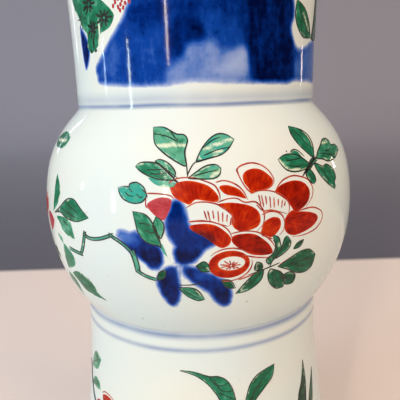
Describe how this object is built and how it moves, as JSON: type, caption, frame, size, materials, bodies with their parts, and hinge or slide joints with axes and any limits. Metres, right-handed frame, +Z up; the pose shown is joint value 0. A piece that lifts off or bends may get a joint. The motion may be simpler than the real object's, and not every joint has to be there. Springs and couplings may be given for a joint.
{
  "type": "gu vase",
  "caption": "Porcelain beaker vase with a trumpet neck, a swelling bulb and a splayed foot, luted from thrown sections over a recessed base.",
  "frame": {"origin": "centre of the standing ring's underside, on the vase's axis", "axes": "+Z up along the vase's axis from the foot to the mouth, +X to the right of the decoration's front, +Y away from the front"},
  "size_m": [0.202, 0.202, 0.395],
  "materials": {
    "glazed_porcelain": "clear bluish-white glaze over white porcelain with underglaze blue, high gloss",
    "bare_clay": "unglazed fired porcelain, matt, faintly buff",
    "dried_slip": "fired slip, matt, smooth",
    "green_enamel": "translucent green overglaze enamel, raised, glossy",
    "iron_red": "iron red overglaze enamel, thin, satin",
    "dark_line": "fine dark outline under the enamels, satin"
  },
  "bodies": {
    "root": {"foot": "glazed_porcelain", "base_seam_slip": "dried_slip", "base_disc": "bare_clay", "waist_seam_slip": "dried_slip", "waist_seam_coil": "bare_clay", "bulb": "glazed_porcelain", "neck_seam_slip": "dried_slip", "neck_seam_coil": "bare_clay", "neck": "glazed_porcelain"}
  },
  "joints": []
}
